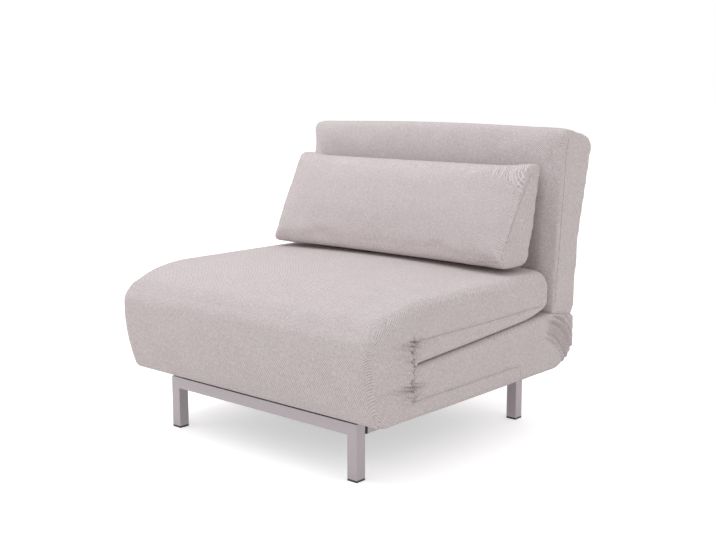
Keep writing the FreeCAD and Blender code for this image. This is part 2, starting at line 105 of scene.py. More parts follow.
def tweed():
    """Woven tweed: yarns over and under, each with its own tone, on the piece's own UV in metres."""
    material, tree, shader = new_material("basket_weave_tweed")
    uv = add_node(tree, "ShaderNodeUVMap", {"uv_map": "weave"}).outputs["UV"]
    grid = add_node(tree, "ShaderNodeMapping", Vector=uv, Scale=(1 / THREAD,) * 3).outputs[0]
    split = add_node(tree, "ShaderNodeSeparateXYZ", Vector=grid)
    warp = maths(tree, "PINGPONG", split.outputs[0], 0.5)
    weft = maths(tree, "PINGPONG", split.outputs[1], 0.5)
    over = add_node(tree, "ShaderNodeTexChecker", Vector=grid, Scale=1.0).outputs["Fac"]
    profile = add_node(tree, "ShaderNodeMix", i0=over, i2=warp, i3=weft).outputs[0]
    slub = add_node(
        tree, "ShaderNodeTexNoise", Vector=uv, Scale=1 / (2.5 * THREAD), Detail=3.0, Roughness=0.7
    ).outputs["Fac"]
    cloud = add_node(   # 70 mm patches of slightly different pile
        tree, "ShaderNodeTexNoise", Vector=uv, Scale=14.0, Detail=4.0, Roughness=0.6
    ).outputs["Fac"]
    fleck = add_node(
        tree, "ShaderNodeTexWhiteNoise", {"noise_dimensions": "2D"},
        Vector=add_node(tree, "ShaderNodeVectorMath", {"operation": "FLOOR"}, i0=grid).outputs[0],
    ).outputs["Value"]
    tone = slub
    for part, weight in ((over, 0.50), (fleck, 0.17), (cloud, 0.25)):
        tone = maths(tree, "MULTIPLY_ADD", part, weight, tone)
    colour = ramp(tree, tone, ((0.50, "9C8F8F"), (0.85, "C4B8B8"), (1.15, "D8CECF")))
    height = maths(tree, "MULTIPLY_ADD", slub, 0.35, profile)
    bump = add_node(
        tree, "ShaderNodeBump", Height=height, Strength=0.55, Distance=THREAD * 0.3
    ).outputs["Normal"]
    rough = add_node(
        tree, "ShaderNodeMapRange", Value=slub, To_Min=0.82, To_Max=0.97
    ).outputs["Result"]
    tree.links.new(colour, shader.inputs["Base Color"])
    tree.links.new(bump, shader.inputs["Normal"])
    tree.links.new(rough, shader.inputs["Roughness"])
    shader.inputs["Specular IOR Level"].default_value = 0.25
    shader.inputs["Sheen Weight"].default_value = 0.22
    shader.inputs["Sheen Roughness"].default_value = 0.5
    shader.inputs["Sheen Tint"].default_value = linear("E9E0DC")
    return material


TWEED = tweed()


def dress(piece, material):
    """Gives a piece one material and smooth faces."""
    piece.data.materials.clear()
    piece.data.materials.append(material)
    piece.data.polygons.foreach_set("use_smooth", [True] * len(piece.data.polygons))
    return piece


def mesh_object(name, points, edges, faces):
    """A new piece in the scene, from lists of points, edges and faces."""
    mesh = bpy.data.meshes.new(name)
    mesh.from_pydata(points, edges, faces)
    mesh.update()
    piece = bpy.data.objects.new(name, mesh)
    bpy.context.collection.objects.link(piece)
    return piece


def face_outward(piece):
    """Turns faces outward, and keeps edges sharper than 55 degrees crisp."""
    edit = bmesh.new()
    edit.from_mesh(piece.data)
    bmesh.ops.recalc_face_normals(edit, faces=edit.faces)
    for edge in edit.edges:
        if len(edge.link_faces) == 2 and edge.calc_face_angle(0) > math.radians(55):
            edge.smooth = False
    edit.to_mesh(piece.data)
    edit.free()
    return piece


def corners(piece):
    """A piece's points, one row each."""
    points = np.empty(len(piece.data.vertices) * 3)
    piece.data.vertices.foreach_get("co", points)
    return points.reshape(-1, 3)


def move_corners(piece, points):
    """Gives a piece's points new places."""
    piece.data.vertices.foreach_set("co", points.ravel())
    piece.data.update()


def lay_weave(piece):
    """UV in metres: yarns run level on the sides, and unbroken over front and top elsewhere."""
    mesh = piece.data
    layer = mesh.uv_layers.new(name="weave")
    normals = np.empty(len(mesh.polygons) * 3)
    mesh.polygons.foreach_get("normal", normals)
    facing = np.abs(normals.reshape(-1, 3)).argmax(1)
    sides = np.empty(len(mesh.polygons), int)
    mesh.polygons.foreach_get("loop_total", sides)
    corner_facing = np.repeat(facing, sides)
    index = np.empty(len(mesh.loops), int)
    mesh.loops.foreach_get("vertex_index", index)
    points = corners(piece)[index]
    centres = np.empty(len(mesh.polygons) * 3)
    mesh.polygons.foreach_get("center", centres)
    centres = centres.reshape(-1, 3)
    middle = (centres[:, 1].min() + centres[:, 1].max()) / 2
    turn = np.where(centres[:, 1] < middle, 1, -1)
    turn = turn * np.where(centres[:, 2] < centres[:, 2].min() + 0.035, -1, 1)
    turn = np.where(facing == 0, 0, turn)
    across = np.where(corner_facing == 0, points[:, 1], points[:, 0])
    along = np.repeat(turn, sides) * points[:, 1] + points[:, 2]
    layer.data.foreach_set("uv", np.column_stack([across, along]).ravel())
    return piece


# ---------------------------------------------------------------------------------------------
# Seat stack. Two foam cushions folded one on the other, in one fitted tweed cover whose front
# runs unbroken over the nose. The cover is sewn to side panels behind the corner, where it is
# gathered, and the cushions part along a sloping line.

HALF = 0.4565               # half width
NOSE = -0.4695              # foremost line
FRONT_CUT = -0.441          # behind this line the cover belongs to one cushion or the other
SEAT_REAR = 0.258           # rear end of the upper cushion
WRAP_REAR = 0.389           # rear end of the lower cushion, with the wrap under the back
UNDER = 0.160               # underside of the lower cushion
SLOPE = math.tan(math.radians(3.55))    # of the parting line, rising to the rear
GATHER = -0.322             # where the front cover is sewn to the side panels
CORNER = 0.030              # rounding of the front corners, seen from above


def smooth(low, high, value):
    """0 below low, 1 above high, and an even S between them."""
    t = np.clip((value - low) / (high - low), 0, 1)
    return t * t * (3 - 2 * t)


def parting(y):
    """Height of the plane between the two cushions."""
    return 0.2791 + SLOPE * (y + 0.446)


def seat_top(x, y):
    """Crowned top of the seat, falling to the front lip."""
    crown = 0.014 * (1 - (x / HALF) ** 2) * (0.5 + 0.5 * smooth(NOSE, -0.25, y))
    lip = 0.034 * (np.clip(-0.250 - y, 0, None) / 0.180) ** 1.9
    return 0.440 + crown - lip


def plan_round(x, y, half, front, rear, front_radius, rear_radius):
    """Rounds the plan's corners: squares about each corner's centre become circles."""
    x, y = x.copy(), y.copy()
    for end, radius, sign in ((front, front_radius, -1), (rear, rear_radius, 1)):
        across = (np.abs(x) - (half - radius)) / radius
        along = (sign * (y - end) + radius) / radius
        inside = (across > 0) & (along > 0)
        a, b = np.where(inside, across, 1), np.where(inside, along, 1)
        scale = np.maximum(a, b) / np.hypot(a, b)
        x = np.where(inside, np.sign(x) * (half - radius + radius * a * scale), x)
        y = np.where(inside, end + sign * (radius * b * scale - radius), y)
    return x, y


def rim(x, y, half, front, rear, front_radius, rear_radius):
    """Distance to the rim of the plan, and the direction to the inside."""
    side = half - np.abs(x)
    ends = np.minimum(y - front, rear - y)
    distance = np.minimum(side, ends)
    nx = np.where(side < ends, -np.sign(x), 0.0)
    ny = np.where(side < ends, 0.0, np.where(y - front < rear - y, 1.0, -1.0))
    for end, radius, sign in ((front, front_radius, -1), (rear, rear_radius, 1)):
        across = np.abs(x) - (half - radius)
        along = sign * (y - end) + radius
        inside = (across > 0) & (along > 0)
        length = np.maximum(np.hypot(across, along), 1e-9)
        distance = np.where(inside, radius - length, distance)
        nx = np.where(inside, -np.sign(x) * across / length, nx)
        ny = np.where(inside, -sign * along / length, ny)
    return distance, nx, ny


def lattice(xs, ys, zs):
    """The skin of a box of grid lines: points, their grid numbers, quads, and line counts."""
    counts = (len(xs), len(ys), len(zs))
    number = -np.ones(counts, int)
    skin = np.zeros(counts, bool)
    for axis in range(3):
        for end in (0, -1):
            place = [slice(None)] * 3
            place[axis] = end
            skin[tuple(place)] = True
    number[skin] = np.arange(skin.sum())
    cells = np.argwhere(skin)
    quads = []
    for axis, flip in ((0, True), (0, False), (1, True), (1, False), (2, True), (2, False)):
        end = 0 if flip else -1
        sheet = np.take(number, end, axis=axis)
        if axis == 1:
            sheet = sheet.T
        a, b = sheet[:-1, :-1], sheet[1:, :-1]
        c, d = sheet[1:, 1:], sheet[:-1, 1:]
        face = np.stack([a, b, c, d] if not flip else [a, d, c, b], -1).reshape(-1, 4)
        quads.append(face)
    points = np.column_stack([xs[cells[:, 0]], ys[cells[:, 1]], zs[cells[:, 2]]])
    return points, cells, np.concatenate(quads), counts


def edge_curve(plan, z_share, low, high, low_radius, high_radius, size, on_side):
    """Rolls the lower and upper rims of a cushion: the wall and the flat meet on an arc."""
    x, y = plan
    distance, nx, ny = rim(x, y, *size)
    distance = np.where(on_side, 0.0, distance)
    tall = high - low
    z = low + tall * z_share
    for radius, drop, flat, up in (
        (high_radius, tall * (1 - z_share), high, -1), (low_radius, tall * z_share, low, 1)
    ):
        radius = np.maximum(radius, 1e-6)
        on_wall = on_side & (drop < radius)
        on_flat = ~on_side & (distance < radius) & (drop < 1e-6)
        angle = np.where(
            on_side, np.pi / 2 - np.pi / 4 * (1 - drop / radius),
            np.pi / 4 * (1 - distance / radius),
        )
        inset = radius * (1 - np.sin(angle))
        sink = radius * (1 - np.cos(angle))
        use = on_wall | on_flat
        shift = np.where(use, inset - distance, 0)
        x = x + nx * shift
        y = y + ny * shift
        z = np.where(use, flat + up * sink, z)
    return x, y, z


def spaced(*stretches):
    """Grid lines from (end, step) stretches, the first one giving the start."""
    lines = [stretches[0]]
    for end, step in stretches[1:]:
        count = max(1, round(abs(end - lines[-1]) / step))
        lines += list(np.linspace(lines[-1], end, count + 1)[1:])
    return np.array(lines)


def nose_back(z):
    """How far the front draws back below the nose."""
    return 0.0365 * (np.clip(0.322 - z, 0, None) / 0.162) ** 1.75


def walls(cells, counts, with_front):
    """Which lattice points lie on a side or end wall; the front only where the piece has one."""
    on_side = (cells[:, 0] == 0) | (cells[:, 0] == counts[0] - 1) | (cells[:, 1] == counts[1] - 1)
    return on_side | (cells[:, 1] == 0) if with_front else on_side


def upper_cushion(points, cells, counts, with_front):
    """Bends a lattice into the upper cushion; its rear end lifts off the lower one."""
    size = (HALF, NOSE, SEAT_REAR, CORNER, 0.020)
    px, py = plan_round(points[:, 0], points[:, 1], *size)
    on_side = walls(cells, counts, with_front)
    gap = 0.0002 + 0.0016 * smooth(GATHER, GATHER + 0.03, py)
    gap = gap + 0.012 * smooth(0.12, 0.25, py) ** 2
    low, high = parting(py) + gap, seat_top(px, py)
    high_radius = 0.026 + 0.019 * smooth(-0.36, -0.44, py) + 0.018 * smooth(0.20, 0.25, py)
    low_radius = 0.017 * smooth(GATHER, GATHER + 0.03, py) + 0.009 * smooth(0.22, 0.25, py)
    shares = points[:, 2]
    return edge_curve((px, py), shares, low, high, low_radius, high_radius, size, on_side)


def lower_cushion(points, cells, counts, with_front):
    """Bends a lattice into the lower cushion, with the wrap that runs on under the back."""
    size = (HALF, NOSE, WRAP_REAR, CORNER, 0.024)
    px, py = plan_round(points[:, 0], points[:, 1], *size)
    on_side = walls(cells, counts, with_front)
    high = parting(py) - 0.0002 - 0.0013 * smooth(GATHER, GATHER + 0.03, py)
    wrap = 0.322 - 0.16 * np.clip(py - 0.262, 0, None)
    high = high + (wrap - high) * smooth(0.250, 0.264, py)
    low_radius = 0.018 + 0.044 * smooth(0.30, 0.38, py) - 0.004 * smooth(-0.36, -0.44, py)
    high_radius = 0.017 * smooth(GATHER, GATHER + 0.03, py) - 0.009 * smooth(0.25, 0.27, py)
    shares = points[:, 2]
    return edge_curve((px, py), shares, UNDER, high, low_radius, high_radius, size, on_side)


def finish_points(x, y, z):
    """The drawing back of the nose, and the slight swell of the sides."""
    y = y + nose_back(z) * smooth(-0.25, NOSE, y)
    swell = np.maximum(0.005 * (1 - ((y + 0.09) / 0.36) ** 2) - 0.005, -0.003)
    x = x + np.sign(x) * swell * smooth(HALF - 0.06, HALF, np.abs(x))
    return np.column_stack([x, y, z])


def coons(points, cells, counts, axis_end):
    """Refills a cut end of a lattice from its four borders."""
    rows = cells[:, 1] == axis_end
    grid = np.empty((counts[0], counts[2], 3))
    grid[cells[rows, 0], cells[rows, 2]] = points[rows]
    u = np.linspace(0, 1, counts[0])[:, None, None]
    v = np.linspace(0, 1, counts[2])[None, :, None]
    left, right = grid[:1], grid[-1:]
    low, high = grid[:, :1], grid[:, -1:]
    mixed = (1 - u) * left + u * right + (1 - v) * low + v * high
    mixed -= (1 - u) * (1 - v) * grid[:1, :1] + u * (1 - v) * grid[-1:, :1]
    mixed -= (1 - u) * v * grid[:1, -1:] + u * v * grid[-1:, -1:]
    inner = np.zeros(len(points), bool)
    inner[rows] = (
        (cells[rows, 0] > 0) & (cells[rows, 0] < counts[0] - 1)
        & (cells[rows, 2] > 0) & (cells[rows, 2] < counts[2] - 1)
    )
    points[inner] = mixed[cells[inner, 0], cells[inner, 2]]
    return points


LAP = 0.007                 # each piece reaches this far under the next one's cover


def tuck(points, cells, counts, row):
    """Sinks a piece's last row 0.4 mm under the cover of the piece that it meets."""
    here = cells[:, 1] == row
    for axis in (0, 2):
        for end, sign in ((0, 1), (counts[axis] - 1, -1)):
            points[here & (cells[:, axis] == end), axis] += sign * 0.0004
    return coons(points, cells, counts, row)


# Grid lines: 2 mm apart where the cover gathers, 3 to 4 mm at rims, 8 to 12 mm on the flats.
# The heights are shares of each cushion's thickness.
across_lines = spaced(
    -HALF, (-HALF + 0.045, 0.003), (HALF - 0.045, 0.012), (HALF, 0.003)
)
upper_lengths = spaced(
    FRONT_CUT - LAP, (FRONT_CUT, LAP), (-0.345, 0.004), (-0.300, 0.002), (0.19, 0.008),
    (SEAT_REAR, 0.003),
)
upper_heights = spaced(0.0, (0.5, 0.018), (0.78, 0.03), (1.0, 0.02))
lower_lengths = spaced(
    FRONT_CUT - LAP, (FRONT_CUT, LAP), (-0.345, 0.004), (-0.300, 0.002), (0.22, 0.008),
    (WRAP_REAR, 0.004),
)
nose_lengths = spaced(NOSE, (FRONT_CUT, 0.0035), (FRONT_CUT + LAP, LAP))
lower_heights = spaced(0.0, (0.3, 0.03), (1.0, 0.02))


def build_upper():
    points, cells, quads, counts = lattice(across_lines, upper_lengths, upper_heights)
    xyz = finish_points(*upper_cushion(points, cells, counts, False))
    xyz = tuck(xyz, cells, counts, 0)
    return face_outward(mesh_object("upper_seat_cushion", xyz.tolist(), [], quads.tolist()))


def build_lower():
    points, cells, quads, counts = lattice(across_lines, lower_lengths, lower_heights)
    xyz = finish_points(*lower_cushion(points, cells, counts, False))
    xyz = tuck(xyz, cells, counts, 0)
    return face_outward(mesh_object("lower_seat_cushion", xyz.tolist(), [], quads.tolist()))


def build_nose():
    """Both cushions' fronts as one piece, the lower one's shares 0 to 1, the upper one's 1 to 2."""
    heights = np.concatenate([lower_heights, upper_heights[1:] + 1])
    points, cells, quads, counts = lattice(across_lines, nose_lengths, heights)
    above = cells[:, 2] > len(lower_heights) - 1
    upper_points = points.copy()
    upper_points[:, 2] -= 1
    upper = np.column_stack(upper_cushion(upper_points, cells, counts, True))
    lower = np.column_stack(lower_cushion(points, cells, counts, True))
    both = np.where(above[:, None], upper, lower)
    xyz = finish_points(both[:, 0], both[:, 1], both[:, 2])
    xyz = tuck(xyz, cells, counts, counts[1] - 1)
    return face_outward(mesh_object("front_fold", xyz.tolist(), [], quads.tolist()))


# The side seams, as (y, z) in the side view.
UPPER_SEAM = [(GATHER, 0.3465), (-0.20, 0.3468), (0.0, 0.3470), (0.215, 0.3480)]
LOWER_SEAM = [
    (GATHER, 0.2045), (-0.20, 0.2050), (0.095, 0.2060), (0.116, 0.2030), (0.1265, 0.191),
    (0.1275, 0.178), (0.1270, 0.166),
]


def line_distance(y, z, line):
    """Distance in the side view from each point to a polyline."""
    best = np.full(len(y), 9.0)
    for (y0, z0), (y1, z1) in zip(line[:-1], line[1:]):
        along = np.clip(
            ((y - y0) * (y1 - y0) + (z - z0) * (z1 - z0)) / ((y1 - y0) ** 2 + (z1 - z0) ** 2), 0, 1
        )
        gap = np.hypot(y - y0 - along * (y1 - y0), z - z0 - along * (z1 - z0))
        best = np.minimum(best, gap)
    return best


def gather_line(z):
    """The sewn end of the front cover wanders a little as the fabric bunches."""
    return GATHER + 0.0035 * np.sin(z * 95) + 0.002 * np.sin(z * 240 + 1)


def sewn_sides(piece):
    """Pulls the cover in along its side seams and bunches it where the front cover ends.

    The pleats run 15.5 and 8.8 mm apart and fade over 40 mm in front of the seam, 26 behind.
    """
    x, y, z = corners(piece).T
    side = np.sign(x) * smooth(HALF - 0.045, HALF - 0.018, np.abs(x))
    away = y - gather_line(z)
    tall = smooth(0.190, 0.212, z) * smooth(0.372, 0.345, z)
    reach = np.where(away < 0, 0.040, 0.026)
    pleat = np.sin(z * 2 * np.pi / 0.0155 + 1.9 * np.sin(z * 130) + away * 150 + np.sign(x))
    pleat += 0.5 * np.sin(z * 2 * np.pi / 0.0088 + away * 160 + 2)
    push = tall * (0.0046 + 0.0022 * np.sin(z * 61)) * pleat * np.exp(-np.abs(away) / reach)
    push -= tall * 0.0110 * np.exp(-(away / 0.0045) ** 2)
    push += tall * 0.0050 * smooth(0.002, -0.010, away) * smooth(-0.110, -0.020, away)
    for line in (UPPER_SEAM, LOWER_SEAM):
        push -= 0.0036 * np.exp(-(line_distance(y, z, line) / 0.0050) ** 2)
    # The rear wrap: slack cover in folds 17 mm apart, curved down from the end of the upper
    # cushion to the rear, under an edge of the cover that stands 5 mm proud.
    reach = (y - 0.235) * 0.837 + (0.322 - z) * 0.547
    below = (0.322 - z) * 0.837 - (y - 0.235) * 0.547
    below = below + 0.024 * np.sin(np.pi * np.clip(reach / 0.172, 0, 1)) - 0.004
    fold = np.sin(below * 2 * np.pi / 0.017 - 0.6) + 0.35 * np.sin(below * 2 * np.pi / 0.0095)
    where = smooth(0.012, 0.060, reach) * smooth(0.060, 0.030, np.abs(below - 0.018))
    where = where * smooth(0.225, 0.250, y) * smooth(WRAP_REAR, WRAP_REAR - 0.045, y)
    push += where * 0.0050 * fold
    push += 0.0050 * smooth(0.011, 0.007, below) * smooth(0.225, 0.250, y) * (z < 0.33)
    move_corners(piece, np.column_stack([x + side * push, y, z]))


upper_seat, lower_seat, front_fold = build_upper(), build_lower(), build_nose()
for piece in (upper_seat, lower_seat, front_fold):
    sewn_sides(piece)
    dress(lay_weave(piece), TWEED)
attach(upper_seat, "foot_section")
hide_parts("foot_cover", "foot_seat_foam", "foot_bed_foam")
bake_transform(front_fold)
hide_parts("front_fold_cover")
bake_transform(lower_seat)
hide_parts("base_cover", "base_foam", "rear_fold_cover")

# ---------------------------------------------------------------------------------------------
# Back cushion. A foam slab on a steel frame in a boxed tweed cover: a seam runs round its front
# face near the edge. It leans a little and is thickest at its foot.


def prism(name, outline, half):
    """A closed block: a side outline of (y, z) points run across the seat."""
    count = len(outline)
    left = [(-half, y, z) for y, z in outline]
    right = [(half, y, z) for y, z in outline]
    faces = [[i, (i + 1) % count, (i + 1) % count + count, i + count] for i in range(count)]
    faces += [list(range(count))[::-1], list(range(count, 2 * count))]
    return face_outward(mesh_object(name, left + right, [], faces))


def apply_modifiers(piece):
    """Turns a piece with its modifiers into a plain mesh."""
    mesh = bpy.data.meshes.new_from_object(
        piece.evaluated_get(bpy.context.evaluated_depsgraph_get())
    )
    piece.modifiers.clear()
    piece.data = mesh
    return piece


def remesh(piece, voxel):
    """Even faces of one size all over, with every edge rounded off."""
    modifier = piece.modifiers.new("remesh", "REMESH")
    modifier.mode = "VOXEL"
    modifier.voxel_size = voxel
    modifier = piece.modifiers.new("soften", "SMOOTH")
    modifier.factor = 0.5
    modifier.iterations = 6
    return apply_modifiers(piece)


def puff(piece, pressure, cap, frames=20):
    """Blows a closed cover up a little with Cloth, holds back every point, and applies it."""
    start = corners(piece).copy()
    scene = bpy.context.scene
    cloth = piece.modifiers.new("cloth", "CLOTH")
    cloth.settings.quality = 6
    cloth.settings.mass = 0.3
    cloth.settings.tension_stiffness = 25
    cloth.settings.compression_stiffness = 25
    cloth.settings.shear_stiffness = 12
    cloth.settings.bending_stiffness = 1.5
    cloth.settings.use_pressure = True
    cloth.settings.uniform_pressure_force = pressure
    cloth.settings.effector_weights.gravity = 0
    cloth.point_cache.frame_start = 1
    cloth.point_cache.frame_end = frames
    for number in range(1, frames + 1):
        scene.frame_set(number)
    apply_modifiers(piece)
    scene.frame_set(1)
    move = corners(piece) - start
    length = np.linalg.norm(move, axis=1)
    keep = cap * np.tanh(length / cap) / np.maximum(length, 1e-9)
    move_corners(piece, start + move * keep[:, None])
    return piece


def subdivide(piece):
    modifier = piece.modifiers.new("smooth", "SUBSURF")
    modifier.levels = 1
    modifier.render_levels = 1
    return apply_modifiers(piece)


def roll_edges(outline, radius):
    """A side outline with its corners rounded by an arc of the radius given for each."""
    points = []
    count = len(outline)
    for i in range(count):
        here = np.array(outline[i])
        before = np.array(outline[i - 1]) - here
        after = np.array(outline[(i + 1) % count]) - here
        a, b = before / np.linalg.norm(before), after / np.linalg.norm(after)
        half_angle = math.acos(np.dot(a, b)) / 2
        reach = radius[i] / math.tan(half_angle)
        centre = here + (a + b) / np.linalg.norm(a + b) * radius[i] / math.sin(half_angle)
        start, end = here + a * reach - centre, here + b * reach - centre
        for step in range(9):
            t = step / 8
            arm = start * (1 - t) + end * t
            points.append(tuple(centre + arm / np.linalg.norm(arm) * radius[i]))
    return points


BACK_SIDE = [
    (0.266, 0.307), (0.388, 0.293), (0.408, 0.520), (0.446, 0.680), (0.471, 0.790), (0.296, 0.824)
]
BACK_LEAN = 0.0858          # 4.9 degrees to the rear
back = prism("back_cushion", roll_edges(BACK_SIDE, [0.006, 0.01, 0.5, 0.3, 0.040, 0.026]), 0.4615)
remesh(back, 0.010)
points = corners(back)
x, y, z = points.T
depth = y - (0.262 + BACK_LEAN * (z - 0.308))
edge = smooth(HALF - 0.040, HALF, np.abs(x) + 0.006)
middle = 0.5 * (0.12 + 0.02 * smooth(0.3, 0.6, z))
y = y - edge * (depth - middle) * 0.10
z = z + 0.010 * (1 - (x / HALF) ** 2) * smooth(0.62, 0.80, z)
x = x * (1 - 0.014 * smooth(0.340, 0.265, z))
move_corners(back, np.column_stack([x, y, z]))
puff(back, 3.0, 0.007)
subdivide(back)
dress(lay_weave(back), TWEED)
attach(back, "back")
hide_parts("back_cover", "back_foam", "back_rear_foam")

# ---------------------------------------------------------------------------------------------
# Lumbar pillow. A loose bolster of soft fill that leans on the back, with sewn end panels and
# a fuller, heavier foot.

PILLOW_SIDE = [
    (0.058, 0.456), (0.200, 0.456), (0.236, 0.560), (0.262, 0.724), (0.194, 0.722), (0.115, 0.578)
]
pillow = prism(
    "lumbar_pillow", roll_edges(PILLOW_SIDE, [0.016, 0.03, 0.2, 0.020, 0.03, 0.3]), 0.4265
)
remesh(pillow, 0.008)
points = corners(pillow)
x, y, z = points.T
centre = 0.148 + 0.190 * (z - 0.455)
end = smooth(0.30, 0.405, np.abs(x))
y = y + (centre + 0.045 * (z - 0.455) / 0.25 - y) * 0.14 * end
front = smooth(0.050, -0.010, y - centre)
y = y - 0.020 * front * (1 - (x / 0.43) ** 2) * smooth(0.48, 0.63, z) * smooth(0.735, 0.66, z)
move_corners(pillow, np.column_stack([x, y, z]))
puff(pillow, 4.0, 0.009)
subdivide(pillow)
dress(lay_weave(pillow), TWEED)
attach(pillow, "lumbar_pillow")
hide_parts("pillow_cover", "pillow_filling")

# ---------------------------------------------------------------------------------------------
# Leg frames. Square steel tube, mitred, welded and ground, then painted in a satin silver grey.
# A fine metallic grain shows close up, with the weld seams filled by the paint.


def paint():
    material, tree, shader = new_material("satin_silver_paint")
    place = add_node(tree, "ShaderNodeTexCoord").outputs["Object"]
    grain = add_node(   # 1 mm metallic flake
        tree, "ShaderNodeTexNoise", Vector=place, Scale=900.0, Detail=2.0
    ).outputs["Fac"]
    peel = add_node(    # 6 mm orange peel
        tree, "ShaderNodeTexNoise", Vector=place, Scale=160.0, Detail=2.0
    ).outputs["Fac"]
    colour = ramp(tree, grain, ((0.25, "A79EA2"), (0.75, "B9B0B4")))
    bump = add_node(tree, "ShaderNodeBump", Height=peel, Strength=0.12, Distance=0.0004)
    rough = add_node(tree, "ShaderNodeMapRange", Value=peel, To_Min=0.36, To_Max=0.48)
    tree.links.new(colour, shader.inputs["Base Color"])
    tree.links.new(bump.outputs["Normal"], shader.inputs["Normal"])
    tree.links.new(rough.outputs["Result"], shader.inputs["Roughness"])
    shader.inputs["Metallic"].default_value = 0.45
    return material


def plain(name, dark, light, scale, roughness, metallic=0.0, stretch=(1, 1, 1), bump=0.2):
    """A finish of two close tones, its grain stretched along the piece, with a little relief."""
    material, tree, shader = new_material(name)
    place = add_node(tree, "ShaderNodeTexCoord").outputs["Object"]
    place = add_node(tree, "ShaderNodeMapping", Vector=place, Scale=stretch).outputs[0]
    grain = add_node(
        tree, "ShaderNodeTexNoise", Vector=place, Scale=scale, Detail=5.0, Roughness=0.6
    ).outputs["Fac"]
    colour = ramp(tree, grain, ((0.3, dark), (0.7, light)))
    relief = add_node(tree, "ShaderNodeBump", Height=grain, Strength=bump, Distance=0.0005)
    rough = add_node(
        tree, "ShaderNodeMapRange", Value=grain, To_Min=roughness - 0.06, To_Max=roughness + 0.06
    )
    tree.links.new(colour, shader.inputs["Base Color"])
    tree.links.new(relief.outputs["Normal"], shader.inputs["Normal"])
    tree.links.new(rough.outputs["Result"], shader.inputs["Roughness"])
    shader.inputs["Metallic"].default_value = metallic
    return material


# Each finish by the material name of its solids. The scale is one over the grain in metres.
FINISH = {
    # Soft, slightly violet grey with a dull highlight along the tube edges.
    "satin_steel": paint(),
    # Bright, cool and cloudy, on pins and staples.
    "zinc_steel": plain("zinc_plated_steel", "9FA3A6", "B9BDC0", 400, 0.34, 1.0),
    # Near black with a soft shine, on inner frames and hinges.
    "black_steel": plain("black_enamelled_steel", "1B1C1E", "26282A", 300, 0.42, 0.2),
    # Matt black with a fine moulded grain, on glides and collars.
    "black_plastic": plain("black_moulded_polyethylene", "151516", "232325", 700, 0.52),
    # Dead matt black, on the rest pads.
    "black_rubber": plain("black_ribbed_rubber", "121212", "1E1E1E", 500, 0.78),
    # Warm tan with long grain across the seat, on the slats.
    "beech": plain("sawn_beech", "B98A5C", "D5AC7E", 26, 0.62, 0.0, (0.15, 3, 3)),
    # Charcoal ribs, on the straps of the back.
    "webbing": plain("woven_elastic_webbing", "2A2A2C", "48484B", 500, 0.85, 0.0, (1, 4, 1), 0.5),
    # Fibrous dull black, under the seat.
    "black_lining": plain("spunbond_lining", "101011", "1F1F21", 900, 0.9, 0.0, (1, 1, 1), 0.6),
    # Open cream cells, inside the covers.
    "foam": plain("cut_polyether_foam", "CDBE93", "E2D6B0", 600, 0.95, 0.0, (1, 1, 1), 0.8),
}
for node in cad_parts.values():
    for material_slot in node.material_slots:
        finish = FINISH.get(material_slot.material.name.split(".")[0])
        if finish:
            material_slot.material = finish

# ---------------------------------------------------------------------------------------------
# Sewing and staples. Lock stitches of bonded thread sink into the seams of the covers, and wire
# staples hold the lining. Each run is one curve laid on the finished cover.


def run_tree():
    """Geometry nodes: bent wires of one length set along a line at an even pitch."""
    tree = bpy.data.node_groups.new("stitch_run", "GeometryNodeTree")
    face = tree.interface
    face.new_socket("Geometry", in_out="INPUT", socket_type="NodeSocketGeometry")
    for name in ("Pitch", "Length", "Radius", "Rise"):
        face.new_socket(name, in_out="INPUT", socket_type="NodeSocketFloat")
    face.new_socket("Material", in_out="INPUT", socket_type="NodeSocketMaterial")
    face.new_socket("Geometry", in_out="OUTPUT", socket_type="NodeSocketGeometry")
    given = add_node(tree, "NodeGroupInput").outputs
    curve = add_node(tree, "GeometryNodeMeshToCurve", Mesh=given["Geometry"]).outputs[0]
    curve = add_node(
        tree, "GeometryNodeResampleCurve", {"mode": "LENGTH"}, Curve=curve, Length=given["Pitch"]
    ).outputs[0]
    first = maths(tree, "MULTIPLY", given["Length"], -0.5)
    last = maths(tree, "MULTIPLY", given["Length"], 0.5)
    wire = add_node(
        tree, "GeometryNodeCurveQuadraticBezier", Resolution=5,
        Start=add_node(tree, "ShaderNodeCombineXYZ", Z=first).outputs[0],
        Middle=add_node(tree, "ShaderNodeCombineXYZ", X=given["Rise"]).outputs[0],
        End=add_node(tree, "ShaderNodeCombineXYZ", Z=last).outputs[0],
    ).outputs[0]
    ring = add_node(
        tree, "GeometryNodeCurvePrimitiveCircle", Resolution=6, Radius=given["Radius"]
    ).outputs[0]
    wire = add_node(
        tree, "GeometryNodeCurveToMesh", Curve=wire, Profile_Curve=ring, Fill_Caps=True
    ).outputs[0]
    turn = add_node(
        tree, "FunctionNodeAlignRotationToVector", {"axis": "Z"},
        Vector=add_node(tree, "GeometryNodeInputTangent").outputs[0],
    ).outputs[0]
    size = add_node(
        tree, "FunctionNodeRandomValue", {"data_type": "FLOAT"}, i2=0.9, i3=1.08, Seed=7
    ).outputs[1]
    runs = add_node(
        tree, "GeometryNodeInstanceOnPoints", Points=curve, Instance=wire, Rotation=turn, Scale=size
    ).outputs[0]
    runs = add_node(tree, "GeometryNodeRealizeInstances", Geometry=runs).outputs[0]
    runs = add_node(
        tree, "GeometryNodeSetMaterial", Geometry=runs, Material=given["Material"]
    ).outputs[0]
    add_node(tree, "NodeGroupOutput", Geometry=runs)
    return tree


RUN_TREE = run_tree()


